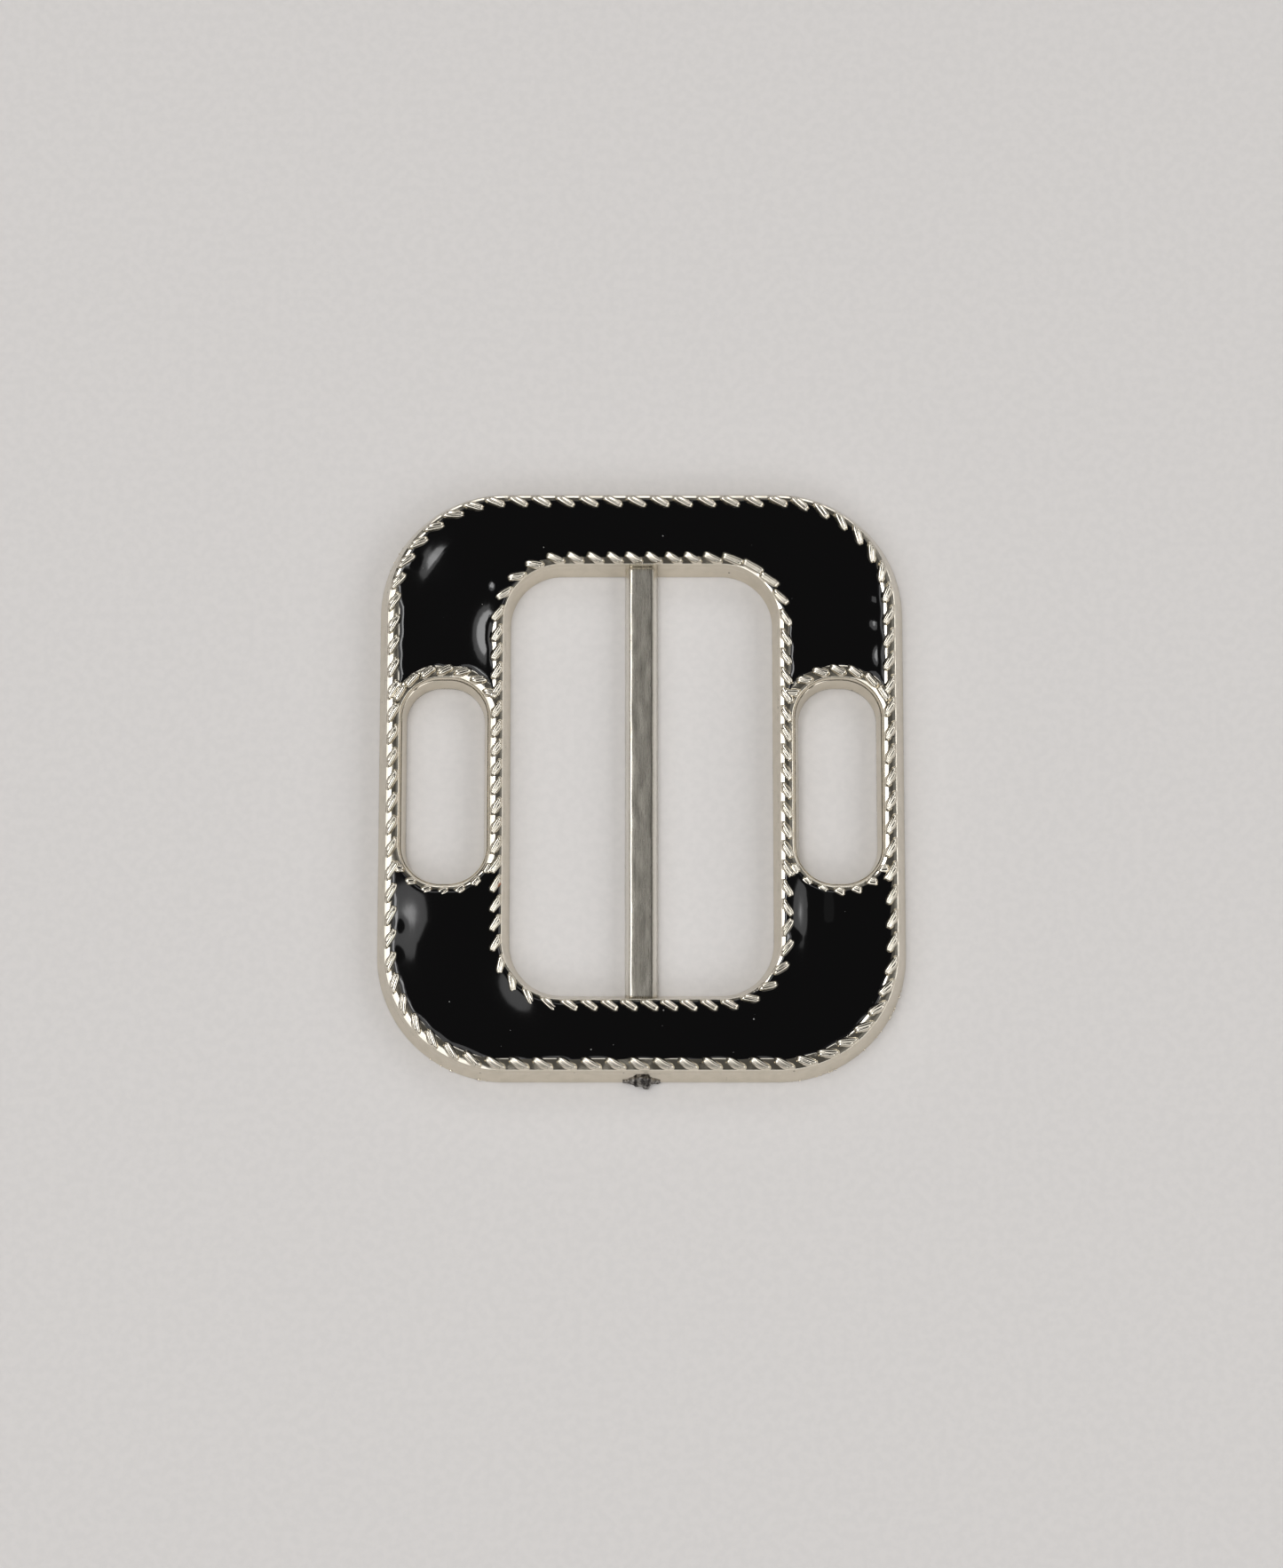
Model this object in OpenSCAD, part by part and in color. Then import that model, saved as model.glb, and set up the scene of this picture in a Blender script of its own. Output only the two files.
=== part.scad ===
// Frame buckle slider with two side slots, a centre bar, rope-edge ribs and two enamel panels.
// The back face lies on z = 0 with the window centred on the origin, the long side along Y.

/* [Frame] */
// Width of the frame across its back face
body_w = 47.7; // [47:0.1:50]
// Length of the frame along its back face
body_l = 54.4; // [52:0.1:60]
// Corner radius of the back face
body_corner_r = 11.5; // [9:0.1:12]
// Height of the land that carries the ribs
body_h = 2.6; // [2.2:0.1:4]
// How far the outer wall leans in from the back face to the land
outer_draft = 0.8; // [0.2:0.05:1]

/* [Openings] */
// Width of the window at the land
window_w = 25.1; // [22:0.1:25.5]
// Length of the window at the land, set by the belt that it takes
window_l = 40; // [36:0.1:41]
// Corner radius of the window at the land
window_corner_r = 5.35; // [3:0.05:8]
// Width of each side slot at the land
slot_w = 8.3; // [7.8:0.1:8.3]
// Length of each side slot at the land
slot_l = 19.3; // [12:0.1:22]
// Corner radius of each side slot at the land
slot_corner_r = 3.8; // [2:0.1:4]
// Height of the slots' middle above the window's middle
slot_shift = -0.15; // [-1:0.05:1]
// How far every opening narrows from the land to the back face
opening_draft = 0.64; // [0.2:0.02:0.8]

/* [Centre bar] */
// Width of the bar's top face
bar_top_w = 2.2; // [1.5:0.1:3]
// Width of the bar's base
bar_base_w = 3; // [3:0.1:4]
// Height of the bar's top face
bar_h = 1.9; // [1.2:0.1:2.2]

/* [Rope borders] */
// Width of the land along every edge
land_w = 1.1; // [1:0.05:1.2]
// Width of one rib
rib_w = 0.6; // [0.4:0.05:0.7]
// Height of one rib above the land
rib_h = 0.4; // [0.3:0.05:0.5]
// Length of one rib
rib_l = 1.3; // [0.8:0.05:1.4]
// Angle between a rib and the edge that it follows
rib_slant = 32; // [20:1:45]
// Number of ribs along the outer edge
outer_rib_count = 84; // [40:1:84]
// Number of ribs around the window
window_rib_count = 68; // [30:1:68]
// Number of ribs around each end of a slot
slot_rib_count = 7; // [2:1:7]
// Distance between ribs at a slot's end
slot_rib_pitch = 1.4; // [1.3:0.05:1.5]

/* [Enamel] */
// Depth of the enamel below the land
enamel_depth = 0.9; // [0.4:0.1:1.5]

/* [Gate stub] */
// Width of the broken gate at the lower edge
gate_w = 3.4; // [2:0.1:5]
// Height of the broken gate
gate_h = 1.1; // [0.6:0.1:1.4]
// How far the broken gate stands out past the back face
gate_reach = 0.6; // [0.2:0.1:1]

/* [Hidden] */
$fn = 64;
// Spare length that carries a cutter past the faces it cuts
spare = 1;
// Outline of the land's outer edge
rim_w = body_w - 2 * outer_draft;
rim_l = body_l - 2 * outer_draft;
rim_corner_r = body_corner_r - outer_draft;
// Middle of each slot, one land's width inside the outer edge
slot_x = rim_w / 2 - land_w - slot_w / 2;
// Distance once around a rounded rectangle
function perimeter(w, l, r) = 2 * (w + l) - 8 * r + 2 * PI * r;
// Place and heading on a corner arc about [x, y], at a degrees, going clockwise
function on_corner(x, y, r, a) = [x + r * cos(a), y + r * sin(a), a - 90];
// Place and heading after s along half of a rounded rectangle: up its left side, then along its top
function on_half(w, l, r, s) =
  let (side = l - 2 * r, top = w - 2 * r, turn = PI * r / 2)
  s < side ? [-w / 2, s - side / 2, 90]
  : s < side + turn ? on_corner(-top / 2, side / 2, r, 180 - 90 * (s - side) / turn)
  : s < side + turn + top ? [s - side - turn - top / 2, l / 2, 0]
  : on_corner(top / 2, side / 2, r, 90 - 90 * (s - side - turn - top) / turn);
// Place and heading after s along a whole rounded rectangle, clockwise from the foot of its left side
function on_edge(w, l, r, s) =
  let (half = perimeter(w, l, r) / 2)
  s < half ? on_half(w, l, r, s) : let (p = on_half(w, l, r, s - half)) [-p.x, -p.y, p.z + 180];

// Flat rounded rectangle
module rounded_rect(w, l, r) {
  square([w, l - 2 * r], center = true);
  square([w - 2 * r, l], center = true);
  for (x = [-1, 1], y = [-1, 1])
    translate([x * (w / 2 - r), y * (l / 2 - r)]) circle(r);
}

// Prism of length l whose cross-section narrows from w1 at the bottom to w2 at height h
module drafted_prism(w1, w2, l, h) {
  rotate([90, 0, 0])
    linear_extrude(l, center = true)
      polygon([[-w1 / 2, 0], [w1 / 2, 0], [w2 / 2, h], [-w2 / 2, h]]);
}

// Rounded rectangle whose walls lean in by lean (or out, if it is negative) over height h
module drafted_block(w, l, r, h, lean) {
  drafted_prism(w, w - 2 * lean, l - 2 * r, h);
  rotate(90) drafted_prism(l, l - 2 * lean, w - 2 * r, h);
  for (x = [-1, 1], y = [-1, 1])
    translate([x * (w / 2 - r), y * (l / 2 - r), 0])
      cylinder(h = h, r1 = r, r2 = r - lean);
}

// Through cutter for an opening, given by its size at the land
module opening(w, l, r) {
  lean = opening_draft / body_h * (body_h + 2 * spare);
  below = opening_draft * (1 + spare / body_h);
  translate([0, 0, -spare])
    drafted_block(w - 2 * below, l - 2 * below, r - below, body_h + 2 * spare, -lean);
}

// Solid outline of the frame
module outer_block() {
  drafted_block(body_w, body_l, body_corner_r, body_h, outer_draft);
}

// Flat outline of a tray: end is 1 for the upper and -1 for the lower
module tray_outline(end) {
  difference() {
    rounded_rect(rim_w - 2 * land_w, rim_l - 2 * land_w, rim_corner_r - land_w);
    rounded_rect(window_w + 2 * land_w, window_l + 2 * land_w, window_corner_r + land_w);
    for (x = [-1, 1])
      translate([x * slot_x, slot_shift])
        rounded_rect(slot_w + 2 * land_w, slot_l + 2 * land_w, slot_corner_r + land_w);
    translate([0, -end * body_l / 2]) square([body_w, body_l], center = true);
  }
}

// Half-round rib lying along X on the land
module rib() {
  crown = rib_h - rib_w / 2;
  translate([0, 0, body_h])
    rotate([90, 0, 90])
      linear_extrude(rib_l, center = true)
        intersection() {
          translate([-rib_w / 2, 0]) square([rib_w, rib_h]);
          union() {
            translate([-rib_w / 2, 0]) square([rib_w, crown]);
            translate([0, crown]) circle(rib_w / 2);
          }
        }
}

// Ribs around both ends of a slot, fanned about a slant
module slot_ribs() {
  w = slot_w + land_w;
  l = slot_l + land_w;
  r = slot_corner_r + land_w / 2;
  half = perimeter(w, l, r) / 2;
  top_middle = l - 2 * r + PI * r / 2 + w / 2 - r;
  for (end = [0, 1], i = [0 : slot_rib_count - 1]) {
    p = on_edge(w, l, r, end * half + top_middle + (i - (slot_rib_count - 1) / 2) * slot_rib_pitch);
    fan = (p.z - 180 * end) / 2;
    translate([p.x, p.y + slot_shift, 0])
      rotate(180 * end + fan + rib_slant)
        rib();
  }
}

module frame() {
  color("silver")
    difference() {
      outer_block();
      opening(window_w, window_l, window_corner_r);
      for (x = [-1, 1])
        translate([x * slot_x, slot_shift, 0]) opening(slot_w, slot_l, slot_corner_r);
      for (end = [-1, 1])
        translate([0, 0, body_h - enamel_depth])
          linear_extrude(enamel_depth + spare)
            tray_outline(end);
    }
}

module centre_bar() {
  color("darkgray")
    intersection() {
      drafted_prism(bar_base_w, bar_top_w, body_l, bar_h);
      opening(window_w, window_l, window_corner_r);
    }
}

module outer_rope_border() {
  w = rim_w - land_w;
  l = rim_l - land_w;
  r = rim_corner_r - land_w / 2;
  pitch = perimeter(w, l, r) / outer_rib_count;
  color("gainsboro")
    for (i = [0 : outer_rib_count - 1]) {
      p = on_edge(w, l, r, (i + 0.5) * pitch);
      translate([p.x, p.y, 0]) rotate(p.z - rib_slant) rib();
    }
}

// The ribs lean the other way along the window's right side
module window_rope_border() {
  w = window_w + land_w;
  l = window_l + land_w;
  r = window_corner_r + land_w / 2;
  pitch = perimeter(w, l, r) / window_rib_count;
  color("gainsboro")
    for (i = [0 : window_rib_count - 1]) {
      p = on_edge(w, l, r, (i + 0.5) * pitch);
      on_right = p.x > w / 2 - r;
      translate([p.x, p.y, 0]) rotate(p.z + (on_right ? rib_slant : -rib_slant)) rib();
    }
}

module left_slot_rope_border() {
  color("gainsboro") translate([-slot_x, 0, 0]) slot_ribs();
}

module right_slot_rope_border() {
  color("gainsboro") mirror([1, 0, 0]) translate([-slot_x, 0, 0]) slot_ribs();
}

module enamel_panel(end) {
  color([0.02, 0.02, 0.02])
    translate([0, 0, body_h - enamel_depth])
      linear_extrude(enamel_depth)
        tray_outline(end);
}

module upper_enamel() {
  enamel_panel(1);
}

module lower_enamel() {
  enamel_panel(-1);
}

module gate_stub() {
  color("dimgray")
    difference() {
      translate([-gate_w / 2, -body_l / 2 - gate_reach, 0])
        cube([gate_w, gate_reach + spare, gate_h]);
      outer_block();
    }
}

frame();
centre_bar();
outer_rope_border();
window_rope_border();
left_slot_rope_border();
right_slot_rope_border();
upper_enamel();
lower_enamel();
gate_stub();
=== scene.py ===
"""Frame buckle slider: plated die casting with rope edges, a centre bar and two poured enamel panels.

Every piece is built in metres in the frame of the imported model. Sizes inside the classes are in
millimetres and are turned into metres where a mesh is made.
"""

from __future__ import annotations

import logging
import math
import random
from dataclasses import dataclass, field, replace
from enum import Enum
from typing import Callable, Sequence

import bmesh
import bpy
import numpy as np
from mathutils import Matrix, Vector, geometry, noise

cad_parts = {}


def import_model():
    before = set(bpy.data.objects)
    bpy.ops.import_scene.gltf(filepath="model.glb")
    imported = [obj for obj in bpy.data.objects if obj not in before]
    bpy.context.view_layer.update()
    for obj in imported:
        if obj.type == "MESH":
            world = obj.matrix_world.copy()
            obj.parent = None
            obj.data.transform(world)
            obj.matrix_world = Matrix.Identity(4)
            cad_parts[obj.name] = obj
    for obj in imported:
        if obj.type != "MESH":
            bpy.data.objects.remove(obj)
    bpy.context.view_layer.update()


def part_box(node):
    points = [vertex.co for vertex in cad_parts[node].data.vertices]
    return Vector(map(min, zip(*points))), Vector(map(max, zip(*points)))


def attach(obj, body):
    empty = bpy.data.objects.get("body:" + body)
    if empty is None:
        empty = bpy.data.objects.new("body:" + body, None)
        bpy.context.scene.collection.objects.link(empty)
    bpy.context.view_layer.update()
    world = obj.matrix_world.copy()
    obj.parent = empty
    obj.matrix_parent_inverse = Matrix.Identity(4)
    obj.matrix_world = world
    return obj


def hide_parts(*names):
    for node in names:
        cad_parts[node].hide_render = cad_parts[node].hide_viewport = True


MM = 0.001
BODY = "root"
LOG = logging.getLogger("slider")
Colour = tuple[float, float, float]
Profile = Sequence[tuple[float, float]]


# ---------------------------------------------------------------------------------------------
# Plane geometry
# ---------------------------------------------------------------------------------------------


@dataclass(frozen=True)
class RoundedRect:
    """A rounded rectangle in the XY plane, in millimetres.

    Attributes:
        width: Extent along X.
        length: Extent along Y.
        radius: Corner radius.
        x: Middle along X.
        y: Middle along Y.
    """

    width: float
    length: float
    radius: float
    x: float = 0.0
    y: float = 0.0

    def grown(self, by: float) -> RoundedRect:
        """Returns the outline moved outwards by a distance, or inwards if it is negative."""
        return replace(self, width=self.width + 2 * by, length=self.length + 2 * by, radius=self.radius + by)

    def distance(self, px: np.ndarray, py: np.ndarray) -> np.ndarray:
        """Returns how far points lie outside the outline; inside it the distance is negative."""
        qx = np.abs(px - self.x) - (self.width / 2 - self.radius)
        qy = np.abs(py - self.y) - (self.length / 2 - self.radius)
        outside = np.hypot(np.maximum(qx, 0), np.maximum(qy, 0))
        return outside + np.minimum(np.maximum(qx, qy), 0) - self.radius

    @property
    def perimeter(self) -> float:
        """Distance once around the outline."""
        return 2 * (self.width + self.length) - 8 * self.radius + 2 * math.pi * self.radius

    def walk(self, s: float) -> tuple[float, float, float]:
        """Finds a place on the outline, going clockwise from the foot of its left side.

        Args:
            s: Distance travelled along the outline.

        Returns:
            The place's x and y, and the heading there in radians.
        """
        side, top = self.length - 2 * self.radius, self.width - 2 * self.radius
        turn = math.pi * self.radius / 2
        half = side + top + 2 * turn
        s %= 2 * half
        flip = s >= half
        s -= half * flip
        if s < side:
            x, y, heading = -self.width / 2, s - side / 2, math.pi / 2
        elif s < side + turn:
            angle = math.pi - (s - side) / self.radius
            x, y = -top / 2 + self.radius * math.cos(angle), side / 2 + self.radius * math.sin(angle)
            heading = angle - math.pi / 2
        elif s < side + turn + top:
            x, y, heading = s - side - turn - top / 2, self.length / 2, 0.0
        else:
            angle = math.pi / 2 - (s - side - turn - top) / self.radius
            x, y = top / 2 + self.radius * math.cos(angle), side / 2 + self.radius * math.sin(angle)
            heading = angle - math.pi / 2
        sign = -1 if flip else 1
        return self.x + sign * x, self.y + sign * y, heading + math.pi * flip

    def loop(self, counts: tuple[int, int, int]) -> np.ndarray:
        """Samples the outline clockwise.

        Args:
            counts: Steps along each long side, each short side and each corner.

        Returns:
            An array of points, one row each.
        """
        side, top = self.length - 2 * self.radius, self.width - 2 * self.radius
        turn = math.pi * self.radius / 2
        along, across, corner = counts
        stations: list[float] = []
        start = 0.0
        for span, steps in 2 * [(side, along), (turn, corner), (top, across), (turn, corner)]:
            stations += [start + span * i / steps for i in range(steps)]
            start += span
        return np.array([self.walk(s)[:2] for s in stations])

    def counts(self, step: float, corner: int) -> tuple[int, int, int]:
        """Returns loop counts whose straight steps are about the given length."""
        side, top = self.length - 2 * self.radius, self.width - 2 * self.radius
        return max(1, round(side / step)), max(1, round(top / step)), corner


class MeshBuilder:
    """Collects loops and triangles in millimetres and turns them into one object."""

    def __init__(self) -> None:
        """Starts an empty mesh."""
        self.points: list[tuple[float, float, float]] = []
        self.faces: list[tuple[int, ...]] = []

    def add(self, points: Sequence[Sequence[float]], faces: Sequence[Sequence[int]]) -> None:
        """Adds points and the faces between them.

        Args:
            points: Places, in millimetres.
            faces: Indices into those points.
        """
        base = len(self.points)
        self.points += [tuple(float(c) for c in p) for p in points]
        self.faces += [tuple(base + i for i in f) for f in faces]

    def skin(self, outline: RoundedRect, profile: Profile, counts: tuple[int, int, int]) -> None:
        """Adds a wall swept around an outline.

        Args:
            outline: The outline at offset 0.
            profile: Offset from the outline and height of each loop, in order.
            counts: Steps along each loop.
        """
        loops = [(outline.grown(offset).loop(counts), z) for offset, z in profile]
        n = len(loops[0][0])
        points = [(x, y, z) for loop, z in loops for x, y in loop]
        faces = [
            (j * n + i, j * n + (i + 1) % n, (j + 1) * n + (i + 1) % n, (j + 1) * n + i)
            for j in range(len(loops) - 1)
            for i in range(n)
        ]
        self.add(points, faces)

    def sheet(
        self,
        places: np.ndarray,
        bounds: Sequence[int],
        inside: Callable[[np.ndarray, np.ndarray], np.ndarray],
        height: Callable[[np.ndarray, np.ndarray], np.ndarray],
    ) -> None:
        """Adds a triangulated sheet over points in the plane.

        Args:
            places: The points, those of the closed boundary loops first.
            bounds: How many points each boundary loop has.
            inside: Says which triangle middles belong to the sheet.
            height: Gives the height over each point.
        """
        edges: list[tuple[int, int]] = []
        start = 0
        for n in bounds:
            edges += [(start + i, start + (i + 1) % n) for i in range(n)]
            start += n
        corners = [Vector((float(x), float(y))) for x, y in places]
        made = geometry.delaunay_2d_cdt(corners, edges, [], 0, 1e-7)
        flat = np.array([tuple(p) for p in made[0]])
        triangles = np.array([list(f) for f in made[2]])
        middles = flat[triangles].mean(axis=1)
        triangles = triangles[inside(middles[:, 0], middles[:, 1])]
        used, triangles = np.unique(triangles, return_inverse=True)
        flat, triangles = flat[used], triangles.reshape(-1, 3)
        z = height(flat[:, 0], flat[:, 1])
        self.add(np.column_stack([flat, z]).tolist(), triangles.tolist())

    def build(self, name: str, weld: float = 1e-4) -> bpy.types.Object:
        """Makes the object, welded, with outward normals and smooth shading.

        Args:
            name: The object's name.
            weld: Distance within which points become one, in millimetres.

        Returns:
            The new object, linked to the scene.
        """
        mesh = bpy.data.meshes.new(name)
        mesh.from_pydata([tuple(c * MM for c in p) for p in self.points], [], self.faces)
        form = bmesh.new()
        form.from_mesh(mesh)
        bpy.data.meshes.remove(mesh)
        bmesh.ops.remove_doubles(form, verts=form.verts, dist=weld * MM)
        bmesh.ops.recalc_face_normals(form, faces=form.faces)
        return piece_from(form, name)


def piece_from(form: bmesh.types.BMesh, name: str, smooth: bool = True) -> bpy.types.Object:
    """Turns an edited mesh into an object.

    Args:
        form: The mesh, in metres, which is freed.
        name: The object's name.
        smooth: Whether its faces are shaded smooth.

    Returns:
        The new object, linked to the scene.
    """
    mesh = bpy.data.meshes.new(name)
    form.to_mesh(mesh)
    form.free()
    mesh.polygons.foreach_set("use_smooth", [smooth] * len(mesh.polygons))
    piece = bpy.data.objects.new(name, mesh)
    bpy.context.scene.collection.objects.link(piece)
    return piece


# ---------------------------------------------------------------------------------------------
# Shaders
# ---------------------------------------------------------------------------------------------


class Graph:
    """Adds nodes to a shader tree and links them."""

    def __init__(self, tree: bpy.types.NodeTree) -> None:
        """Keeps the tree that nodes are added to."""
        self.tree = tree

    def add(self, kind: str, values: dict | None = None, **settings: object) -> bpy.types.Node:
        """Adds a node.

        Args:
            kind: The node's Blender type, such as ShaderNodeMath.
            values: Input name or index to a constant or to another node's output.
            **settings: Properties of the node itself.

        Returns:
            The new node.
        """
        node = self.tree.nodes.new(kind)
        for key, value in settings.items():
            setattr(node, key, value)
        for key, value in (values or {}).items():
            if isinstance(value, bpy.types.NodeSocket):
                self.tree.links.new(value, node.inputs[key])
            else:
                node.inputs[key].default_value = value
        return node

    def math(self, operation: str, a: object, b: object = 0.0, c: object = 0.0) -> bpy.types.NodeSocket:
        """Adds a Math node and returns its output."""
        return self.add("ShaderNodeMath", {0: a, 1: b, 2: c}, operation=operation).outputs[0]

    def span(
        self, value: object, low: float, high: float, to_low: float = 0.0, to_high: float = 1.0
    ) -> bpy.types.NodeSocket:
        """Maps a range smoothly onto another and returns the result."""
        node = self.add(
            "ShaderNodeMapRange",
            {"Value": value, "From Min": low, "From Max": high, "To Min": to_low, "To Max": to_high},
            interpolation_type="SMOOTHSTEP",
        )
        return node.outputs["Result"]

    def mix(self, factor: object, a: object, b: object) -> bpy.types.NodeSocket:
        """Mixes two colours and returns the result."""
        node = self.add("ShaderNodeMix", data_type="RGBA")
        for index, value in ((0, factor), (6, a), (7, b)):
            if isinstance(value, bpy.types.NodeSocket):
                self.tree.links.new(value, node.inputs[index])
            elif index:
                node.inputs[index].default_value = (*value, 1.0)
            else:
                node.inputs[index].default_value = value
        return node.outputs[2]

    def bump(self, shader: bpy.types.Node, height: bpy.types.NodeSocket, distance: float) -> None:
        """Roughens a shader's normal by a height whose full range is a distance in millimetres."""
        bump = self.add("ShaderNodeBump", {"Height": height, "Distance": distance * MM})
        self.tree.links.new(bump.outputs[0], shader.inputs["Normal"])

    def paint(self, shader: bpy.types.Node, **sockets: bpy.types.NodeSocket) -> None:
        """Links sockets to a shader's inputs, named with underscores for spaces."""
        for label, socket in sockets.items():
            self.tree.links.new(socket, shader.inputs[label.replace("_", " ")])

    def millimetres(self) -> bpy.types.NodeSocket:
        """Returns the place on the piece, in millimetres."""
        place = self.add("ShaderNodeTexCoord").outputs["Object"]
        scaled = self.add("ShaderNodeVectorMath", {0: place, "Scale": 1 / MM}, operation="SCALE")
        return scaled.outputs[0]


def shader_group(
    name: str,
    inputs: dict[str, float],
    outputs: Sequence[str],
    wire: Callable[[Graph, dict[str, bpy.types.NodeSocket]], dict[str, bpy.types.NodeSocket]],
) -> bpy.types.NodeTree:
    """Returns a shader node group, and makes it the first time.

    Args:
        name: The group's name.
        inputs: Name and default of each number that goes in.
        outputs: Name of each number that comes out.
        wire: Builds the inside and returns the socket that feeds each output.

    Returns:
        The node group.
    """
    made = bpy.data.node_groups.get(name)
    if made:
        return made
    tree = bpy.data.node_groups.new(name, "ShaderNodeTree")
    for label, value in inputs.items():
        tree.interface.new_socket(label, in_out="INPUT", socket_type="NodeSocketFloat").default_value = value
    for label in outputs:
        tree.interface.new_socket(label, in_out="OUTPUT", socket_type="NodeSocketFloat")
    entry, leave = tree.nodes.new("NodeGroupInput"), tree.nodes.new("NodeGroupOutput")
    results = wire(Graph(tree), {label: entry.outputs[label] for label in inputs})
    for label, socket in results.items():
        tree.links.new(socket, leave.inputs[label])
    return tree


def waviness() -> bpy.types.NodeTree:
    """Returns the group for the slow waves and fine peel of a cast and plated skin."""

    def wire(graph: Graph, given: dict[str, bpy.types.NodeSocket]) -> dict[str, bpy.types.NodeSocket]:
        """Adds two sizes of noise."""
        place = graph.millimetres()
        slow = graph.add("ShaderNodeTexNoise", {"Vector": place, "Scale": given["Wave scale"], "Detail": 1.0})
        fine = graph.add("ShaderNodeTexNoise", {"Vector": place, "Scale": given["Peel scale"], "Detail": 3.0})
        peel = graph.math("MULTIPLY", fine.outputs[0], given["Peel amount"])
        return {"Height": graph.math("ADD", slow.outputs[0], peel)}

    return shader_group(
        "Cast waviness", {"Wave scale": 0.5, "Peel scale": 5.0, "Peel amount": 0.1}, ["Height"], wire
    )


def streaks() -> bpy.types.NodeTree:
    """Returns the group for drawn or rubbed streaks along Y."""

    def wire(graph: Graph, given: dict[str, bpy.types.NodeSocket]) -> dict[str, bpy.types.NodeSocket]:
        """Stretches noise along Y at two sizes."""
        place = graph.millimetres()
        stretch = graph.add("ShaderNodeCombineXYZ", {"X": 1.0, "Y": given["Stretch"], "Z": 1.0}).outputs[0]
        drawn = graph.add("ShaderNodeVectorMath", {0: place, 1: stretch}, operation="MULTIPLY").outputs[0]
        broad = graph.add("ShaderNodeTexNoise", {"Vector": drawn, "Scale": given["Scale"], "Detail": 2.0})
        double = graph.math("MULTIPLY", given["Scale"], 4.0)
        fine = graph.add("ShaderNodeTexNoise", {"Vector": drawn, "Scale": double, "Detail": 2.0})
        half = graph.math("MULTIPLY", broad.outputs[0], 0.5)
        lines = graph.math("MULTIPLY_ADD", fine.outputs[0], 0.5, half)
        return {"Height": lines, "Mask": graph.span(broad.outputs[0], 0.45, 0.65)}

    return shader_group("Drawn streaks", {"Scale": 4.0, "Stretch": 0.06}, ["Height", "Mask"], wire)


def specks() -> bpy.types.NodeTree:
    """Returns the group for scattered specks, used for dust and for plating pits."""

    def wire(graph: Graph, given: dict[str, bpy.types.NodeSocket]) -> dict[str, bpy.types.NodeSocket]:
        """Keeps a few cells of a Voronoi pattern as small dots of different sizes."""
        place = graph.millimetres()
        cells = graph.add("ShaderNodeTexVoronoi", {"Vector": place, "Scale": given["Scale"]})
        tint = graph.add("ShaderNodeSeparateColor", {"Color": cells.outputs["Color"]})
        size = graph.math("MULTIPLY", tint.outputs[1], given["Size"])
        dot = graph.math("LESS_THAN", cells.outputs["Distance"], size)
        kept = graph.math("LESS_THAN", tint.outputs[0], given["Share"])
        return {"Mask": graph.math("MULTIPLY", dot, kept)}

    return shader_group("Specks", {"Scale": 2.0, "Size": 0.2, "Share": 0.1}, ["Mask"], wire)


def worn_spot() -> bpy.types.NodeTree:
    """Returns the group for a ragged worn spot around one place, in millimetres."""

    def wire(graph: Graph, given: dict[str, bpy.types.NodeSocket]) -> dict[str, bpy.types.NodeSocket]:
        """Compares the distance to the place with a radius roughened by noise."""
        place = graph.millimetres()
        middle = graph.add("ShaderNodeCombineXYZ", {axis: given[axis] for axis in "XYZ"}).outputs[0]
        gap = graph.add("ShaderNodeVectorMath", {0: place, 1: middle}, operation="DISTANCE").outputs["Value"]
        rough = graph.add("ShaderNodeTexNoise", {"Vector": place, "Scale": 9.0, "Detail": 3.0}).outputs[0]
        edge = graph.math("MULTIPLY", given["Radius"], graph.math("MULTIPLY_ADD", rough, 1.6, 0.2))
        return {"Mask": graph.math("LESS_THAN", gap, edge)}

    return shader_group("Worn spot", {"X": 0.0, "Y": 0.0, "Z": 0.0, "Radius": 0.2}, ["Mask"], wire)


def principled(name: str) -> tuple[bpy.types.Material, Graph, bpy.types.Node]:
    """Starts a material.

    Args:
        name: The material's name.

    Returns:
        The material, its graph and its shader.
    """
    material = bpy.data.materials.new(name)
    material.use_nodes = True
    tree = material.node_tree
    shader = tree.nodes["Principled BSDF"]
    return material, Graph(tree), shader


def placed(graph: Graph, group: bpy.types.NodeTree, values: dict[str, float]) -> bpy.types.Node:
    """Places a shader group in a graph with its own values and returns the node."""
    node = graph.add("ShaderNodeGroup", node_tree=group)
    for label, value in values.items():
        node.inputs[label].default_value = value
    return node


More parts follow.
